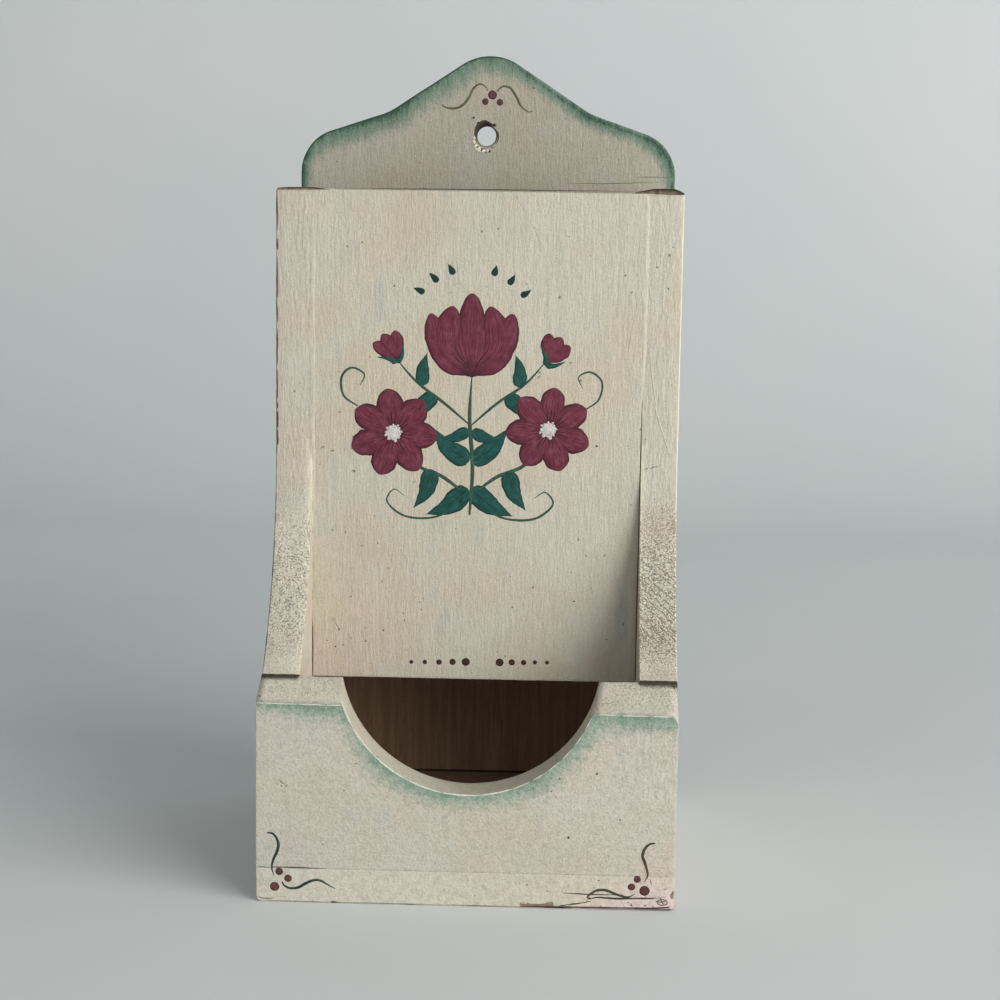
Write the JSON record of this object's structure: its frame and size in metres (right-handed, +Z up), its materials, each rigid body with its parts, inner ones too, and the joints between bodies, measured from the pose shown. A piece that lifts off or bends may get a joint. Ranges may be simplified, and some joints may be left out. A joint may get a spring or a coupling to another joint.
{
  "type": "matchbox holder",
  "caption": "Wall-hung wooden matchbox holder: nailed boards form a chute for a large matchbox, an open tray with a round finger cut-out, and a crest with a hanging hole.",
  "frame": {"origin": "middle of the box's footprint, on the underside of the bottom board", "axes": "+Z up to the crest, -Y out of the front board's face, +Y into the wall, +X to the right seen from the front"},
  "size_m": [0.09, 0.086, 0.1837],
  "materials": {
    "painted_wood": "aged cream paint on wood, matt",
    "speckled_wood": "aged cream paint over coarse grain, matt",
    "steel_brad": "dull wire"
  },
  "bodies": {
    "root": {"back_board": "painted_wood", "left_side_board": "painted_wood", "right_side_board": "painted_wood", "front_panel": "painted_wood", "front_board": "speckled_wood", "bottom_board": "speckled_wood", "front_board_brads": "steel_brad", "front_panel_brads": "steel_brad", "back_board_brads": "steel_brad", "bottom_board_brads": "steel_brad"}
  },
  "joints": []
}
